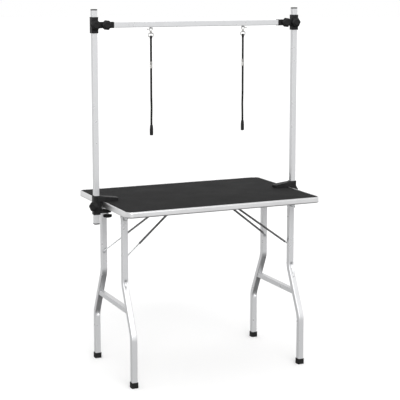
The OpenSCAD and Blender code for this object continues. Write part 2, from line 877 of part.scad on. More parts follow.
post_caps("right");  // post_caps_right
bar();
bar_eyes();
tee("left");  // tee_left
tee_post_knob("left");  // tee_post_knob_left
tee_bar_knob("left");  // tee_bar_knob_left
tee("right");  // tee_right
tee_post_knob("right");  // tee_post_knob_right
tee_bar_knob("right");  // tee_bar_knob_right
snap_hook("left");  // snap_hook_left
snap_bolt("left");  // snap_bolt_left
swivel_loop("left");  // swivel_loop_left
noose_cord("left");  // noose_cord_left
noose_lock("left");  // noose_lock_left
noose_sleeve("left");  // noose_sleeve_left
snap_hook("right");  // snap_hook_right
snap_bolt("right");  // snap_bolt_right
swivel_loop("right");  // swivel_loop_right
noose_cord("right");  // noose_cord_right
noose_lock("right");  // noose_lock_right
noose_sleeve("right");  // noose_sleeve_right
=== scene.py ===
"""Looks of a folding grooming table with an overhead bar and two nooses, round its CAD frame."""

import json
import math

import bpy
import numpy as np
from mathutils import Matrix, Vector


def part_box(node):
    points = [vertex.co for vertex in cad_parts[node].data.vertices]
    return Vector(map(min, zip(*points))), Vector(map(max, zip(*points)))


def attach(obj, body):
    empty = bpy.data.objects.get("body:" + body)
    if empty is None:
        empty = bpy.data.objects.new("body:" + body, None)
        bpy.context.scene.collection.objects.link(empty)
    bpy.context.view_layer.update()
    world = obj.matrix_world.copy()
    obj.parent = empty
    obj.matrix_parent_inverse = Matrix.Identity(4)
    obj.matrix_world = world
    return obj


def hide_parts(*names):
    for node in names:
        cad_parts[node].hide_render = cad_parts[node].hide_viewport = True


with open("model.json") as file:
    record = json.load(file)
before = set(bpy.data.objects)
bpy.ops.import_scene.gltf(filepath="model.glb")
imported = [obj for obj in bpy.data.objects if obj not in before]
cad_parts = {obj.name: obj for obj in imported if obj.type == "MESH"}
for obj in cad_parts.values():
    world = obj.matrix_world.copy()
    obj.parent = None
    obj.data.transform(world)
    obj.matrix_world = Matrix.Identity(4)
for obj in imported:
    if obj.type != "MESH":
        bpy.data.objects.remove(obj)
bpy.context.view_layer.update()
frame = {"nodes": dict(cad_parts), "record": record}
nodes = frame["nodes"]

# each with its direction along X or Y
SIDES = {"left": -1, "right": 1}
ENDS = {"front": -1, "back": 1}
MM = 0.001


# ---- Camera and stage ----


def make_camera():
    yaw, pitch = math.radians(-24.41), math.radians(8.39)
    back = Vector(
        (
            math.sin(yaw) * math.cos(pitch),
            -math.cos(yaw) * math.cos(pitch),
            math.sin(pitch),
        )
    )
    data = bpy.data.cameras.new("camera")
    data.lens = 107.5
    data.shift_y = -0.1
    data.clip_end = 60
    cam = bpy.data.objects.new("camera", data)
    cam.location = (-2.174, -4.815, 1.706)
    cam.rotation_mode = "QUATERNION"
    cam.rotation_quaternion = (-back).to_track_quat("-Z", "Y")
    bpy.context.scene.collection.objects.link(cam)
    bpy.context.scene.camera = cam


def sun_light(name, towards, strength, spread):
    """Soft daylight: towards points from the object to it, spread is its width in degrees."""
    data = bpy.data.lights.new(name, "SUN")
    data.energy = strength
    data.angle = math.radians(spread)
    lamp = bpy.data.objects.new(name, data)
    lamp.rotation_mode = "QUATERNION"
    lamp.rotation_quaternion = Vector(towards).to_track_quat("Z", "Y")
    bpy.context.scene.collection.objects.link(lamp)


def make_world(seen, above, below):
    """White surroundings: seen is what the camera gets, above and below light the object."""
    world = bpy.data.worlds.new("studio")
    world.use_nodes = True
    bpy.context.scene.world = world
    tree = world.node_tree
    tree.nodes.clear()

    def add(kind, **values):
        node = tree.nodes.new("ShaderNode" + kind)
        for key, value in values.items():
            node.inputs[key.replace("_", " ")].default_value = value
        return node

    around = add("TexCoord")
    split = add("SeparateXYZ")
    # from well below the horizon, where it is dark, to just below it
    ramp = add("MapRange", From_Min=-0.6, From_Max=-0.15, To_Min=below, To_Max=above)
    lighting = add("Background", Color=(1, 1, 1, 1))
    backdrop = add("Background", Color=(1, 1, 1, 1), Strength=seen)
    path = add("LightPath")
    mix = add("MixShader")
    out = add("OutputWorld")
    tree.links.new(around.outputs["Generated"], split.inputs[0])
    tree.links.new(split.outputs["Z"], ramp.inputs["Value"])
    tree.links.new(ramp.outputs[0], lighting.inputs["Strength"])
    tree.links.new(lighting.outputs[0], mix.inputs[1])
    tree.links.new(backdrop.outputs[0], mix.inputs[2])
    tree.links.new(path.outputs["Is Camera Ray"], mix.inputs[0])
    tree.links.new(mix.outputs[0], out.inputs["Surface"])


FLOOR_HALF = 120


def make_floor():
    mesh = bpy.data.meshes.new("floor")
    signs = ((-1, -1), (1, -1), (1, 1), (-1, 1))
    corners = [(x * FLOOR_HALF, y * FLOOR_HALF, 0) for x, y in signs]
    mesh.from_pydata(corners, [], [(0, 1, 2, 3)])
    floor = bpy.data.objects.new("floor", mesh)
    s = Shader("floor_paint", (0.96, 0.96, 0.96), 0.8)
    mesh.materials.append(s.material)
    bpy.context.scene.collection.objects.link(floor)
    # the undersides see the darker lower half of the surroundings instead of a glowing floor
    floor.visible_diffuse = False
    floor.visible_glossy = False


# ---- Materials ----


class Shader:
    """A Principled material with short helpers for its procedural nodes."""

    def __init__(self, name, color, rough, metal=0.0, **sockets):
        self.material = bpy.data.materials.new(name)
        self.material.use_nodes = True
        self.tree = self.material.node_tree
        self.bsdf = self.tree.nodes["Principled BSDF"]
        self.set(
            **{"Base Color": (*color, 1), "Roughness": rough, "Metallic": metal},
            **sockets,
        )

    def set(self, **sockets):
        for key, value in sockets.items():
            self.bsdf.inputs[key].default_value = value

    def node(self, kind, **values):
        made = self.tree.nodes.new("ShaderNode" + kind)
        for key, value in values.items():
            if key in made.inputs:
                made.inputs[key].default_value = value
            else:
                setattr(made, key, value)
        return made

    def link(self, out, into):
        self.tree.links.new(out, into)

    def coords(self, scale, uv=False):
        """Object or UV coordinates in metres, times scale along each axis."""
        source = self.node("TexCoord").outputs["UV" if uv else "Object"]
        mapping = self.node("Mapping", Scale=scale)
        self.link(source, mapping.inputs["Vector"])
        return mapping.outputs[0]

    def noise(self, scale, detail=3.0, rough=0.5, at=None):
        made = self.node("TexNoise", Scale=1.0, Detail=detail, Roughness=rough)
        self.link(at or self.coords((scale,) * 3), made.inputs["Vector"])
        return made.outputs["Fac"]

    def ramp(self, value, low, high):
        """Maps the middle of a value's range, 0.3 to 0.7, to low..high."""
        ends = {"From Min": 0.3, "From Max": 0.7, "To Min": low, "To Max": high}
        made = self.node("MapRange", **ends)
        self.link(value, made.inputs["Value"])
        return made.outputs[0]

    def tint(self, value, dark, light):
        """Colours the surface between two colours by a value."""
        made = self.node("Mix", data_type="RGBA")
        made.inputs[6].default_value = (*dark, 1)
        made.inputs[7].default_value = (*light, 1)
        self.link(self.ramp(value, 0, 1), made.inputs[0])
        self.link(made.outputs[2], self.bsdf.inputs["Base Color"])
        return made.outputs[2]

    def roughen(self, value, low, high):
        self.link(self.ramp(value, low, high), self.bsdf.inputs["Roughness"])

    def bump(self, height, depth, strength=1.0, after=None):
        made = self.node("Bump", Strength=strength, Distance=depth)
        self.link(height, made.inputs["Height"])
        if after:
            self.link(after, made.inputs["Normal"])
        self.link(made.outputs[0], self.bsdf.inputs["Normal"])
        return made.outputs[0]


def aluminium():
    """Extruded band: fine die lines run along it, so they change fast with height only."""
    s = Shader("aluminium_band", (0.80, 0.80, 0.805), 0.34, 1.0)
    lines = s.noise(1, 4, 0.6, s.coords((6, 6, 2600)))
    s.roughen(lines, 0.28, 0.42)
    s.tint(s.noise(14, 3), (0.76, 0.76, 0.765), (0.83, 0.83, 0.835))
    s.bump(lines, 0.00004, 0.5)
    return s.material


def mat_rubber():
    """Pebbled mat: small raised grains with a broad, faint difference in wear."""
    s = Shader("rubber_mat", (0.014, 0.014, 0.0143), 0.85, **{"Specular IOR Level": 0.1})
    grain = s.node("TexVoronoi", Scale=1.0, feature="F1")
    s.link(s.coords((620, 620, 620)), grain.inputs["Vector"])
    wear = s.noise(9, 4)
    s.tint(wear, (0.0125, 0.0125, 0.0128), (0.0165, 0.0165, 0.0168))
    s.roughen(wear, 0.72, 0.88)
    first = s.bump(grain.outputs["Distance"], 0.0005, 0.8)
    s.bump(s.noise(2600, 2), 0.00015, 0.5, first)
    return s.material


def silver_paint(name, color=(0.66, 0.665, 0.675)):
    """Silver powder coat: metal flake under a thin film, with faint orange peel."""
    s = Shader(name, color, 0.32, 0.7, **{"Coat Weight": 0.15, "Coat Roughness": 0.2})
    flake = s.noise(4200, 1)
    s.tint(flake, tuple(c * 0.93 for c in color), tuple(c * 1.06 for c in color))
    s.roughen(s.noise(40, 3), 0.27, 0.38)
    s.bump(s.noise(260, 2), 0.00004, 0.25)
    return s.material


def moulded(name, color, rough, grain=1500, depth=0.00012):
    """Moulded plastic or rubber: spark-eroded grain and slightly uneven gloss."""
    s = Shader(name, color, rough, **{"Specular IOR Level": 0.16})
    s.tint(s.noise(55, 4), tuple(c * 0.8 for c in color), tuple(c * 1.3 for c in color))
    s.roughen(s.noise(120, 3), rough - 0.07, rough + 0.08)
    s.bump(s.noise(grain, 2), depth, 0.7)
    return s.material


def plated(name, color, rough, spread=0.08):
    """Plated steel: bright metal with soft clouds of duller plating and fine scratches."""
    s = Shader(name, color, rough, 1.0)
    clouds = s.noise(160, 4)
    s.tint(clouds, tuple(c * 0.86 for c in color), tuple(min(1, c * 1.08) for c in color))
    s.roughen(clouds, rough - spread / 2, rough + spread)
    s.bump(s.noise(1, 2, 0.5, s.coords((300, 300, 3000))), 0.00003, 0.4)
    return s.material


def plywood():
    """Sealed board: long grain along X with darker pores."""
    s = Shader("board_wood", (0.36, 0.25, 0.15), 0.6)
    grain = s.noise(1, 6, 0.65, s.coords((3, 45, 45)))
    pores = s.noise(1, 2, 0.5, s.coords((25, 900, 900)))
    s.tint(grain, (0.30, 0.20, 0.115), (0.47, 0.35, 0.22))
    s.roughen(grain, 0.5, 0.7)
    s.bump(pores, 0.00012, 0.5)
    return s.material


def braid():
    """Braided nylon: two sets of yarns that cross, drawn round and along the tube."""
    finish = {"Specular IOR Level": 0.2, "Sheen Weight": 0.03}
    s = Shader("black_cord", (0.004, 0.004, 0.0044), 0.68, **finish)
    waves = []
    for turn in (1, -1):
        wave = s.node(
            "TexWave",
            Scale=1.0,
            Distortion=0.0,
            Detail=0.0,
            wave_type="BANDS",
            bands_direction="DIAGONAL",
        )
        s.link(s.coords((turn * 70, 70, 1), uv=True), wave.inputs["Vector"])
        waves.append(wave.outputs["Fac"])
    both = s.node("Math", operation="MAXIMUM")
    s.link(waves[0], both.inputs[0])
    s.link(waves[1], both.inputs[1])
    # painted shade: the colour follows the yarns' height, darker in the gaps between them and
    # lighter on their crowns
    s.tint(both.outputs[0], (0.0022, 0.0022, 0.0025), (0.007, 0.007, 0.0075))
    first = s.bump(both.outputs[0], 0.0005, 0.8)
    s.bump(s.noise(2500, 2), 0.0001, 0.5, first)
    return s.material


MATERIALS = {
    "aluminium_band": aluminium(),
    "rubber_mat": mat_rubber(),
    "board_wood": plywood(),
    "silver_tube": silver_paint("silver_tube"),
    "black_plastic": moulded("black_plastic", (0.0105, 0.0105, 0.011), 0.5),
    "black_rubber": moulded("black_rubber", (0.012, 0.012, 0.012), 0.66, 900, 0.0002),
    "bracket_steel": silver_paint("bracket_steel", (0.40, 0.405, 0.41)),
    "zinc_steel": plated("zinc_steel", (0.62, 0.63, 0.64), 0.3),
    "spring_steel": plated("spring_steel", (0.23, 0.23, 0.235), 0.36),
    "nickel": plated("nickel", (0.42, 0.415, 0.40), 0.24),
    "black_cord": braid(),
}


# ---- Mesh helpers ----


def make_piece(name, verts, faces, body, slot, uvs=None, sharp=35):
    """A mesh piece that rides on a body and takes its finish from a slot."""
    mesh = bpy.data.meshes.new(name)
    mesh.from_pydata([tuple(map(float, v)) for v in verts], [], [tuple(f) for f in faces])
    if uvs is not None:
        layer = mesh.uv_layers.new(name="UVMap")
        flat = [uvs[i] for face in mesh.polygons for i in face.vertices]
        layer.data.foreach_set("uv", np.array(flat, np.float32).ravel())
    mesh.shade_smooth()
    mesh.set_sharp_from_angle(angle=math.radians(sharp))
    mesh.materials.append(MATERIALS[slot])
    piece = bpy.data.objects.new(name, mesh)
    bpy.context.scene.collection.objects.link(piece)
    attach(piece, body)
    return piece


class Build:
    """Collects rings of points into one mesh."""

    def __init__(self):
        self.verts, self.faces, self.uvs = [], [], []

    def ring(self, points, uvs=None):
        start = len(self.verts)
        self.verts += [np.array(p, float) for p in points]
        self.uvs += list(uvs) if uvs is not None else [(0, 0)] * len(points)
        return list(range(start, len(self.verts)))

    def skin(self, a, b):
        """Joins two rings with quads."""
        for i in range(len(a)):
            j = (i + 1) % len(a)
            self.faces.append((a[i], a[j], b[j], b[i]))

    def skin_round(self, rings):
        """Joins rings in order and the last one to the first, so the form is closed."""
        for a, b in zip(rings, rings[1:] + rings[:1]):
            self.skin(a, b)

    def cap(self, ring, flip=False):
        self.faces.append(ring[::-1] if flip else ring)

    def loft(self, rings, caps=(True, True)):
        """Joins rings in order; they turn anticlockwise seen from the last one."""
        made = [self.ring(*r) if isinstance(r, tuple) else self.ring(r) for r in rings]
        for a, b in zip(made, made[1:]):
            self.skin(a, b)
        if caps[0]:
            self.cap(made[0], True)
        if caps[1]:
            self.cap(made[-1])
        return made

    def piece(self, name, body, slot, sharp=35):
        return make_piece(name, self.verts, self.faces, body, slot, self.uvs, sharp)


def circle(radius, n):
    a = np.arange(n) * 2 * math.pi / n
    return np.stack([radius * np.cos(a), radius * np.sin(a)], 1)


def rounded_rect(width, depth, radius, per_corner=5, per_side=1):
    """Outline of a rounded rectangle, anticlockwise from its +X side."""
    points = []
    hx, hy = width / 2 - radius, depth / 2 - radius
    for k, (sx, sy) in enumerate(((1, 1), (-1, 1), (-1, -1), (1, -1))):
        for i in range(per_corner + 1):
            a = math.radians(90 * k + 90 * i / per_corner)
            points.append((sx * hx + radius * math.cos(a), sy * hy + radius * math.sin(a)))
        along = ((-2 * hx, 0), (0, -2 * hy), (2 * hx, 0), (0, 2 * hy))[k]
        start = points[-1]
        for i in range(1, per_side):
            t = i / per_side
            points.append((start[0] + along[0] * t, start[1] + along[1] * t))
    return np.array(points)


def placed(outline, centre, across, up):
    """2-D outline points put in space."""
    return [
        np.array(centre) + p[0] * np.array(across) + p[1] * np.array(up) for p in outline
    ]


def unit(v):
    v = np.array(v, float)
    return v / np.linalg.norm(v)


def perimeter(outline):
    steps = np.linalg.norm(np.roll(outline, -1, 0) - outline, axis=1)
    return np.concatenate([[0], np.cumsum(steps)[:-1]])


def tube(build, path, outline, side=None, caps=(True, True)):
    """Sweeps an outline, or one per point, along a path; side fixes the outline's second axis."""
    path = np.array(path, float)
    ahead = np.gradient(path, axis=0)
    travelled = 0.0
    rings = []
    across = None
    for i, point in enumerate(path):
        t = unit(ahead[i])
        if side is not None:
            up = np.array(side, float)
            across = unit(np.cross(up, t))
        else:
            if across is None:
                guess = (0, 0, 1) if abs(t[2]) < 0.9 else (1, 0, 0)
                across = unit(np.cross(guess, t))
            across = unit(across - t * across.dot(t))
            up = np.cross(t, across)
        shape = outline[i] if isinstance(outline, list) else outline
        if i:
            travelled += float(np.linalg.norm(point - path[i - 1]))
        uv = [(u, travelled) for u in perimeter(shape)]
        rings.append((placed(shape, point, across, up), uv))
    return build.loft(rings, caps)


SHARP_ANGLE = 50


def soften(node, width, segments=2):
    """Welds a CAD node's split corners and rounds its sharp edges."""
    o = nodes[node]
    weld = o.modifiers.new("weld", "WELD")
    weld.merge_threshold = 0.00002
    bevel = o.modifiers.new("bevel", "BEVEL")
    bevel.width = width
    bevel.segments = segments
    bevel.limit_method = "ANGLE"
    bevel.angle_limit = math.radians(SHARP_ANGLE)
    bevel.harden_normals = True


def soften_nodes():
    for side in SIDES:
        soften(f"crossbar_{side}", 2.2 * MM, 3)
        soften(f"clamp_body_{side}", 1.1 * MM, 3)
        soften(f"tee_{side}", 1.2 * MM, 3)
        soften(f"feet_{side}", 1.2 * MM, 3)
        soften(f"post_caps_{side}", 0.6 * MM)
        soften(f"clamp_pad_{side}", 0.8 * MM)
    for node in ("hinge_brackets", "stay_brackets", "hinge_bolts"):
        soften(node, 0.4 * MM)


def finish_nodes():
    """Gives each CAD node that still shows the material of its slot."""
    slots = {s["node"]: s["material_slot"] for s in frame["record"]["subparts"]}
    for name, o in nodes.items():
        o.data.materials.clear()
        o.data.materials.append(MATERIALS[slots[name]])


# ---- Table top ----

BAND_LO, BAND_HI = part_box("edge_band")
BOARD_LO, BOARD_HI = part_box("board")
CORNER_R = 30 * MM


def rim(inset, z, per_corner=14):
    """The table's outline, drawn in by inset, at height z."""
    size = BAND_HI - BAND_LO
    outline = rounded_rect(
        size.x - 2 * inset, size.y - 2 * inset, CORNER_R - inset, per_corner, 4
    )
    return [(x, y, z) for x, y in outline]


def make_band():
    """Extruded edge trim: rolled lip on top and a flange underneath."""
    z0, z1 = BAND_LO.z, BAND_HI.z
    profile = [
        (0.0, z0 + 0.8 * MM),
        (0.0, z0 + 6 * MM),
        (0.0, z1 - 6 * MM),
        (0.0, z1 - 3.2 * MM),
        (0.5 * MM, z1 - 2.7 * MM),
        (0.1 * MM, z1 - 2.2 * MM),
        (0.1 * MM, z1 - 1.2 * MM),
        (0.5 * MM, z1 - 0.4 * MM),
        (1.4 * MM, z1),
        (4.2 * MM, z1),
        (4.8 * MM, z1 - 0.25 * MM),
        (5 * MM, z1 - 0.9 * MM),
        (5 * MM, BOARD_HI.z),
        (2 * MM, BOARD_HI.z),
        (2 * MM, BOARD_LO.z),
        (10 * MM, BOARD_LO.z),
        (10 * MM, z0),
        (0.6 * MM, z0),
    ]
    build = Build()
    build.skin_round([build.ring(rim(d, z)) for d, z in profile])
    piece = build.piece("edge_band_profile", "table", "aluminium_band", 50)
    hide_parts("edge_band")


def make_mat():
    """Mat with a pressed-down edge all round, which leaves a dark line inside the lip."""
    lo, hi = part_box("mat")
    inset = lo.x - BAND_LO.x
    build = Build()
    build.loft(
        [
            rim(inset, lo.z),
            rim(inset, hi.z - 1.2 * MM),
            rim(inset + 0.4 * MM, hi.z - 0.7 * MM),
            rim(inset + 1.6 * MM, hi.z - 0.5 * MM),
            rim(inset + 2.2 * MM, hi.z - 0.1 * MM),
            rim(inset + 3 * MM, hi.z),
        ]
    )
    piece = build.piece("mat_sheet", "table", "rubber_mat", 30)
    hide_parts("mat")


# ---- Legs ----

LEG_W, LEG_R, LEG_WALL = 25 * MM, 3 * MM, 1.5 * MM
LEG_Y_TOP, LEG_Y_FOOT = 131 * MM, 232 * MM
FLARE_TOP, FLARE_BOTTOM = 430 * MM, 221 * MM
BEND_R = 70 * MM
FLARE = math.atan2(LEG_Y_FOOT - LEG_Y_TOP, FLARE_TOP - FLARE_BOTTOM)
LEG_MOUTH = 40 * MM
# rings round each bend, at even turns, and next to it, at even steps
BEND_RINGS = 22
SIDE_RINGS, SIDE_STEP = 6, 3 * MM
FLARE_RINGS = 16
DENT_DEPTH, DENT_REACH, DENT_HALF_W = 4.6 * MM, 16 * MM, 9.5 * MM


def leg_path():
    """Points (Y, Z) down a leg at positive Y, close together round its two bends."""
    lo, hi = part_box("back_leg_left")
    t = BEND_R * math.tan(FLARE / 2)
    turns = [FLARE * k / BEND_RINGS for k in range(BEND_RINGS + 1)]
    high = [
        (LEG_Y_TOP + BEND_R * (1 - math.cos(a)), FLARE_TOP + t - BEND_R * math.sin(a))
        for a in turns
    ]
    low = [
        (LEG_Y_FOOT - BEND_R * (1 - math.cos(a)), FLARE_BOTTOM - t + BEND_R * math.sin(a))
        for a in reversed(turns)
    ]
    (y0, z0), (y1, z1) = high[-1], low[0]
    points = [(LEG_Y_TOP, z) for z in (hi.z, 0.66, 0.58, 0.52)]
    points += [(LEG_Y_TOP, FLARE_TOP + t + k * SIDE_STEP) for k in range(SIDE_RINGS, 0, -1)]
    points += high
    for k in range(1, FLARE_RINGS):
        s = k / FLARE_RINGS
        points.append((y0 + (y1 - y0) * s, z0 + (z1 - z0) * s))
    points += low
    points += [(LEG_Y_FOOT, FLARE_BOTTOM - t - k * SIDE_STEP) for k in range(1, SIDE_RINGS + 1)]
    points += [(LEG_Y_FOOT, z) for z in (0.12, 0.06, lo.z)]
    return np.array(points)


def dented(outline, depth, sign):
    """Presses one side of the outline inwards, which bulges its corners; sign picks the side."""
    out = outline.copy()
    half = LEG_W / 2
    bulge = 0.12 * depth
    for p in out:
        if sign * p[0] > half - 0.1 * MM and abs(p[1]) < DENT_HALF_W:
            p[0] -= sign * depth * math.cos(math.pi / 2 * p[1] / DENT_HALF_W) ** 2
        elif sign * p[0] > 0:
            p[1] += math.copysign(bulge, p[1]) * (sign * p[0] / half)
    return out


def make_leg(side, end):
    sy = ENDS[end]
    lo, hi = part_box(f"{end}_leg_{side}")
    x = (lo.x + hi.x) / 2
    path = leg_path()
    outline = rounded_rect(LEG_W, LEG_W, LEG_R, 5, 12)
    along = np.concatenate(
        [[0], np.cumsum(np.linalg.norm(np.diff(path, axis=0), axis=1))]
    )
    middles = []
    for corner in ((LEG_Y_TOP, FLARE_TOP), (LEG_Y_FOOT, FLARE_BOTTOM)):
        middles.append(along[np.argmin(np.linalg.norm(path - corner, axis=1))])
    shapes = []
    for s in along:
        shape = outline
        for middle, face in zip(middles, (1, -1)):
            depth = DENT_DEPTH * math.exp(-(((s - middle) / DENT_REACH) ** 4))
            if depth > 0.02 * MM:
                shape = dented(shape, depth, -face * sy)
        shapes.append(shape)
    points = [(x, sy * y, z) for y, z in path]
    build = Build()
    # the outline's second axis is X, so its first axis points towards -Y going down
    second_axis = (-1, 0, 0)
    rings = tube(build, points, shapes, side=second_axis, caps=(False, True))
    inner = rounded_rect(LEG_W - 2 * LEG_WALL, LEG_W - 2 * LEG_WALL, LEG_R - LEG_WALL, 5, 12)
    axes = ring_axes(points, second_axis)
    mouth = build.ring(placed(inner, points[0], *axes))
    floor = build.ring(placed(inner, np.array(points[0]) - (0, 0, LEG_MOUTH), *axes))
    build.skin(mouth, rings[0])
    build.skin(floor, mouth)
    build.cap(floor, True)
    piece = build.piece(f"{end}_leg_tube_{side}", f"legs_{side}", "silver_tube", 40)
    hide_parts(f"{end}_leg_{side}")


def ring_axes(points, side):
    """The first ring's across and up axes for a tube with a fixed side."""
    t = unit(np.array(points[1]) - np.array(points[0]))
    up = np.array(side, float)
    return unit(np.cross(up, t)), up


# ---- Stays ----

# a stay's eye under the board, and its hook on the leg's stud
STAY_X, STAY_Y, STAY_Z = 128.5 * MM, 47 * MM, 737 * MM
HOOK_Y, STUD_Z, LEG_X = 113 * MM, 523 * MM, 403 * MM
HOOK_R = 5.8 * MM
SPRING_R, SPRING_WIRE, SPRING_PITCH = 4.8 * MM, 0.75 * MM, 2.15 * MM
# share of the rod that the spring leaves bare, by the hook and by the eye
BARE = {"left": 0.31, "right": 0.06}
BARE_TOP = 0.035


def stay_line(side, end):
    """Start by the hook and end at the eye of a stay's rod."""
    sx, sy = SIDES[side], ENDS[end]
    rise, run = STAY_Z - STUD_Z, LEG_X - STAY_X
    a = math.atan2(rise, run) + math.acos(HOOK_R / math.hypot(rise, run))
    start = np.array(
        (sx * (LEG_X - HOOK_R * math.cos(a)), sy * HOOK_Y, STUD_Z + HOOK_R * math.sin(a))
    )
    return start, np.array((sx * STAY_X, sy * STAY_Y, STAY_Z))


def make_spring(side, end):
    """Close-wound extension spring round the stay's rod."""
    start, stop = stay_line(side, end)
    axis = unit(stop - start)
    across = unit(np.cross(axis, (0, 1, 0)))
    up = np.cross(axis, across)
    low, high = start + BARE[side] * (stop - start), stop - BARE_TOP * (stop - start)
    length = np.linalg.norm(high - low) - 2 * SPRING_WIRE
    turns = int(length / SPRING_PITCH)
    per_turn = 14
    count = turns * per_turn + 1
    mean = SPRING_R - SPRING_WIRE
    build = Build()
    rings = []
    section = circle(SPRING_WIRE, 6)
    for i in range(count):
        a = 2 * math.pi * i / per_turn
        radial = math.cos(a) * across + math.sin(a) * up
        centre = low + axis * (SPRING_WIRE + length * i / (count - 1)) + mean * radial
        rings.append(placed(section, centre, axis, radial))
    build.loft(rings)
    piece = build.piece(f"{end}_stay_coil_{side}", f"{end}_stay_{side}", "spring_steel", 60)
    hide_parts(f"{end}_stay_spring_{side}")


# ---- Knobs and screws ----


def lobed(radius, amount, n=72, lobes=6, turn=0.0):
    """Outline with rounded lobes; amount is how far the hollows are drawn in."""
    points = []
    for i in range(n):
        a = 2 * math.pi * i / n
        dip = 0.5 - 0.5 * math.cos(lobes * (a + turn))
        r = radius - amount * dip
        points.append((r * math.cos(a), r * math.sin(a)))
    return np.array(points)


def knob_rings(radius, height, turn):
    """Outlines and heights of a hand knob from its base to its raised middle."""
    r, h = radius, height
    return [
        (circle(0.40 * r, 72), 0.0),
        (circle(0.44 * r, 72), 0.0),
        (circle(0.46 * r, 72), 0.10 * h),
        (lobed(0.86 * r, 0.055 * r, turn=turn), 0.10 * h),
        (lobed(0.95 * r, 0.08 * r, turn=turn), 0.13 * h),
        (lobed(0.99 * r, 0.095 * r, turn=turn), 0.20 * h),
        (lobed(1.00 * r, 0.105 * r, turn=turn), 0.32 * h),
        (lobed(0.98 * r, 0.105 * r, turn=turn), 0.52 * h),
        (lobed(0.93 * r, 0.09 * r, turn=turn), 0.62 * h),
        (lobed(0.83 * r, 0.065 * r, turn=turn), 0.70 * h),
        (lobed(0.70 * r, 0.03 * r, turn=turn), 0.755 * h),
        (circle(0.62 * r, 72), 0.78 * h),
        (circle(0.59 * r, 72), 0.82 * h),
        (circle(0.58 * r, 72), 0.93 * h),
        (circle(0.55 * r, 72), 0.985 * h),
        (circle(0.50 * r, 72), 1.0 * h),
        (circle(0.45 * r, 72), 0.985 * h),
        (circle(0.42 * r, 72), 0.94 * h),
        (circle(0.20 * r, 72), 0.925 * h),
    ]


def thread(build, base, axis, across, radius, depth, pitch, length, ends=1.0 * MM):
    """A threaded rod: a helical ridge on a core, chamfered at both ends."""
    up = np.cross(axis, across)
    n, per_pitch = 28, 8
    rows = max(2, int(length / pitch * per_pitch))
    rings = []
    for j in range(rows + 1):
        z = length * j / rows
        fade = min(1.0, z / ends, (length - z) / ends)
        ring = []
        for i in range(n):
            a = 2 * math.pi * i / n
            phase = (z / pitch - i / n) % 1.0
            ridge = 1 - abs(2 * phase - 1)
            r = radius - depth + depth * min(ridge * 1.5, 1.0) * max(fade, 0.0)
            ring.append(base + axis * z + r * (math.cos(a) * across + math.sin(a) * up))
        rings.append(ring)
    build.loft(rings)


def make_knob(node, body, base, axis, across, radius, height, stud=None, turn=0.0, flat=False):
    """Hand knob that stands out along axis from its base; flat lowers its raised middle."""
    base, axis, across = (np.array(v, float) for v in (base, axis, across))
    up = np.cross(axis, across)
    build = Build()
    rings = []
    for outline, z in knob_rings(radius, height, turn):
        if flat:
            z = height * np.interp(z / height, (0, 0.755, 0.82, 1), (0, 0.93, 0.9, 1))
        rings.append(placed(outline, base + axis * z, across, up))
    build.loft(rings)
    piece = build.piece(f"{node}_grip", body, "black_plastic", 38)
    if stud:
        build = Build()
        start = base + axis * STUD_LAP
        thread(build, start, -axis, across, *STUD_THREAD, stud + STUD_LAP)
        build.piece(f"{node}_stud", body, "zinc_steel", 30)
    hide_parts(node)


KNOB_R, KNOB_H, CLAMP_KNOB_R = 22 * MM, 12.5 * MM, 21 * MM
SLEEVE_HALF, ARM_HALF, BOSS = 15 * MM, 13.5 * MM, 2 * MM
LOCK_GAP, STUD_END, STUD_LAP = 0.5 * MM, 12 * MM, 0.5 * MM
LOCK_REACH, POST_CORNER = 21 * MM, 15.9 * MM
BAR_KNOB_X = 50 * MM
# a thread's outside radius, depth and pitch
STUD_THREAD = (4 * MM, 0.45 * MM, 1.25 * MM)
SPINDLE_THREAD = (5 * MM, 0.6 * MM, 2 * MM)
SPINDLE_TIP_R, SPINDLE_TIP = 4 * MM, 3 * MM


def make_tee_knobs(side, post_x):
    """The two knobs on a tee's front, one on the post and one on the bar."""
    sx = SIDES[side]
    lo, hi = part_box(f"tee_post_knob_{side}")
    z = (lo.z + hi.z) / 2
    for name, x, half, turn in (
        ("post_knob", post_x, SLEEVE_HALF, -sx * 0.1),
        ("bar_knob", post_x - sx * BAR_KNOB_X, ARM_HALF, 0.12),
    ):
        base = half + BOSS + LOCK_GAP
        make_knob(
            f"tee_{name}_{side}",
            f"{name}_{side}",
            (x, -base, z),
            (0, -1, 0),
            (1, 0, 0),
            KNOB_R,
            KNOB_H,
            base - STUD_END,
            turn,
        )


def make_lock_knob(side, post_x):
    """A clamp's lock knob, which stands out from a corner of the post."""
    sx = SIDES[side]
    lo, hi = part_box(f"post_lock_knob_{side}")
    base = LOCK_REACH + LOCK_GAP
    # the right-hand clamp is the left one turned half round
    out = unit((sx, sx, 0))
    make_knob(
        f"post_lock_knob_{side}",
        f"lock_knob_{side}",
        np.array((post_x, 0, (lo.z + hi.z) / 2)) + out * base,
        out,
        (-out[1], out[0], 0),
        KNOB_R,
        KNOB_H,
        base - POST_CORNER,
        0.05,
    )


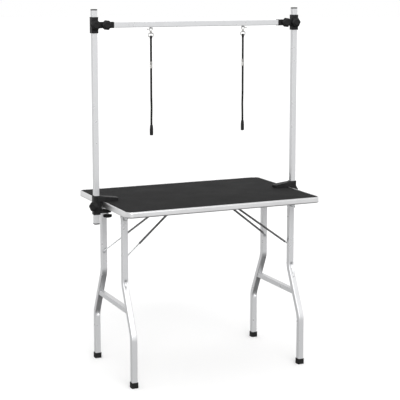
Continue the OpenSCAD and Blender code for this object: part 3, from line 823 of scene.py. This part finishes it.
def make_clamp_screw(side):
    """A clamp's knob and its threaded spindle with a plain tip."""
    lo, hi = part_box(f"clamp_knob_{side}")
    x = (lo.x + hi.x) / 2
    make_knob(
        f"clamp_knob_{side}",
        f"screw_{side}",
        (x, 0, hi.z),
        (0, 0, -1),
        (1, 0, 0),
        CLAMP_KNOB_R,
        hi.z - lo.z,
        turn=0.1,
        flat=True,
    )
    lo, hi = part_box(f"clamp_screw_{side}")
    across, up = np.array((1.0, 0, 0)), np.array((0, 0, 1.0))
    length = hi.z - lo.z - SPINDLE_TIP
    build = Build()
    thread(build, np.array((x, 0, lo.z)), up, across, *SPINDLE_THREAD, length)
    tip = circle(SPINDLE_TIP_R, 28)
    ends = (hi.z - SPINDLE_TIP - 0.2 * MM, hi.z)
    build.loft([placed(tip, (x, 0, z), (1, 0, 0), (0, 1, 0)) for z in ends])
    piece = build.piece(f"clamp_thread_{side}", f"screw_{side}", "zinc_steel", 30)
    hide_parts(f"clamp_screw_{side}")


def make_knobs():
    for side in SIDES:
        lo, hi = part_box(f"post_{side}")
        post_x = (lo.x + hi.x) / 2
        make_tee_knobs(side, post_x)
        make_lock_knob(side, post_x)
        make_clamp_screw(side)


# ---- Nooses ----

# the doubled cord's middle: mm towards the table's middle, and mm up from the bar's underside
CORD_ROUTE = [
    (0, -50), (0, -62), (0, -75), (0, -100), (0, -125), (0, -150),
    (0, -175), (0, -200), (0, -225), (0, -250), (0, -275), (0, -300),
    (0.5, -325), (1, -350), (0.5, -375), (0, -400), (0, -420), (0, -440),
]
STRAND_R, HITCH_R = 2.4 * MM, 1.95 * MM
# the two strands touch along a line, so they sit this share of a radius from the middle
STRAND_LAP = 0.985
NOOSE_X = 222 * MM
LOOP_BOTTOM = 42.2 * MM
WIRE_R = 1.75 * MM


def smooth_line(points, n):
    """Points n to each step along a smooth curve through the given points."""
    p = np.array(points, float)
    padded_points = np.vstack([2 * p[0] - p[1], p, 2 * p[-1] - p[-2]])
    out = []
    for i in range(1, len(padded_points) - 2):
        a, b, c, d = padded_points[i - 1 : i + 3]
        for k in range(n):
            t = k / n
            bend = (2 * a - 5 * b + 4 * c - d) * t**2 + (3 * b - a - 3 * c + d) * t**3
            out.append(0.5 * (2 * b + (c - a) * t + bend))
    out.append(padded_points[-2])
    return np.array(out)


def make_hitch(side, origin):
    """Both strands go up behind the loop's bottom wire, over it and down through their bight."""
    build = Build()
    reach = WIRE_R + HITCH_R + 0.1 * MM
    for strand in (-1, 1):
        x, below = strand * 2.3 * MM, strand * 2.2 * MM
        points = [
            origin + (below, 0, -54 * MM),
            origin + (below, 1.6 * MM, -51 * MM),
        ]
        for a in np.radians(np.linspace(-18, 162, 9)):
            points.append(origin + (x, reach * math.cos(a), reach * math.sin(a) - LOOP_BOTTOM))
        points += [
            origin + (x, -reach * 0.97, -46.2 * MM),
            origin + (below, -reach * 1.02, -48.4 * MM),
            origin + (0, -reach * 1.02, -49.0 * MM),
        ]
        tube(build, smooth_line(points, 4), circle(HITCH_R, 12))
    return build.piece(f"noose_hitch_{side}", f"noose_{side}", "black_cord", 60)


def flat_rings(side, node, profile):
    """Stadium outlines up a node's box: half-width and half-depth in mm, share of its height."""
    lo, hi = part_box(node)
    rings = []
    for w, d, t in profile:
        outline = rounded_rect(2 * w * MM, 2 * d * MM, (d - 0.02) * MM, 8, 2)
        centre = (SIDES[side] * NOOSE_X, 0, lo.z + (hi.z - lo.z) * t)
        rings.append(placed(outline, centre, (1, 0, 0), (0, 1, 0)))
    return rings


# from the closed end up to the mouth, and down inside it
SLEEVE_PROFILE = [
    (3.0, 1.6, 0.0), (5.6, 3.2, 0.006), (7.1, 4.3, 0.03), (7.8, 4.85, 0.075), (8.0, 5.0, 0.14),
    (8.0, 5.0, 0.56), (7.85, 4.9, 0.64), (7.2, 4.5, 0.80), (6.5, 4.05, 0.94), (6.25, 3.85, 0.98),
    (5.9, 3.5, 1.0), (5.3, 2.9, 1.0), (5.0, 2.6, 0.985), (4.95, 2.6, 0.80),
]
# up the outside, with rolled rims and a groove in the middle, and down the bore
CLASP_PROFILE = [
    (5.45, 3.15, 0.0), (6.0, 3.7, 0.0), (6.2, 3.9, 0.02), (6.2, 3.9, 0.05), (5.95, 3.65, 0.075),
    (5.85, 3.55, 0.14), (5.85, 3.55, 0.44), (5.6, 3.3, 0.47), (5.6, 3.3, 0.53), (5.85, 3.55, 0.56),
    (5.85, 3.55, 0.86), (5.95, 3.65, 0.925), (6.2, 3.9, 0.95), (6.2, 3.9, 0.98), (6.0, 3.7, 1.0),
    (5.45, 3.15, 1.0), (5.3, 3.0, 0.98), (5.3, 3.0, 0.02),
]


def make_sleeve(side):
    """Moulded sleeve on the cord's end."""
    build = Build()
    build.loft(flat_rings(side, f"noose_sleeve_{side}", SLEEVE_PROFILE))
    piece = build.piece(f"noose_end_{side}", f"noose_{side}", "black_plastic", 40)
    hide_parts(f"noose_sleeve_{side}")
    return piece


def make_clasp(side):
    """Metal lock that slides on the cord."""
    build = Build()
    outlines = flat_rings(side, f"noose_lock_{side}", CLASP_PROFILE)
    build.skin_round([build.ring(r) for r in outlines])
    piece = build.piece(f"noose_clasp_{side}", f"slider_{side}", "nickel", 40)
    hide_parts(f"noose_lock_{side}")
    return piece


def make_noose(side):
    """Doubled cord side by side, hung from the swivel loop, with its sleeve and its lock."""
    sx = SIDES[side]
    origin = np.array((sx * NOOSE_X, 0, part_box("bar")[0].z))
    middle = np.array([origin + (-sx * x * MM, 0, z * MM) for x, z in CORD_ROUTE])
    line = smooth_line(middle, 4)
    build = Build()
    for strand in (-1, 1):
        path = line.copy()
        path[:, 0] += strand * STRAND_R * STRAND_LAP
        tube(build, path, circle(STRAND_R, 14))
    cord = build.piece(f"noose_rope_{side}", f"noose_{side}", "black_cord", 60)
    pieces = [make_hitch(side, origin), make_sleeve(side), make_clasp(side)]
    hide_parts(f"noose_cord_{side}")


# ---- Scene ----

make_camera()
make_world(seen=1.0, above=0.95, below=0.04)
for side_name in SIDES:
    make_noose(side_name)
make_band()
make_mat()
for side_name in SIDES:
    for end_name in ENDS:
        make_leg(side_name, end_name)
        make_spring(side_name, end_name)
make_knobs()
finish_nodes()
soften_nodes()
make_floor()
sun_light("key", (-0.15, -0.9, 0.5), 1.9, 50)
bpy.context.scene.view_settings.view_transform = "Standard"
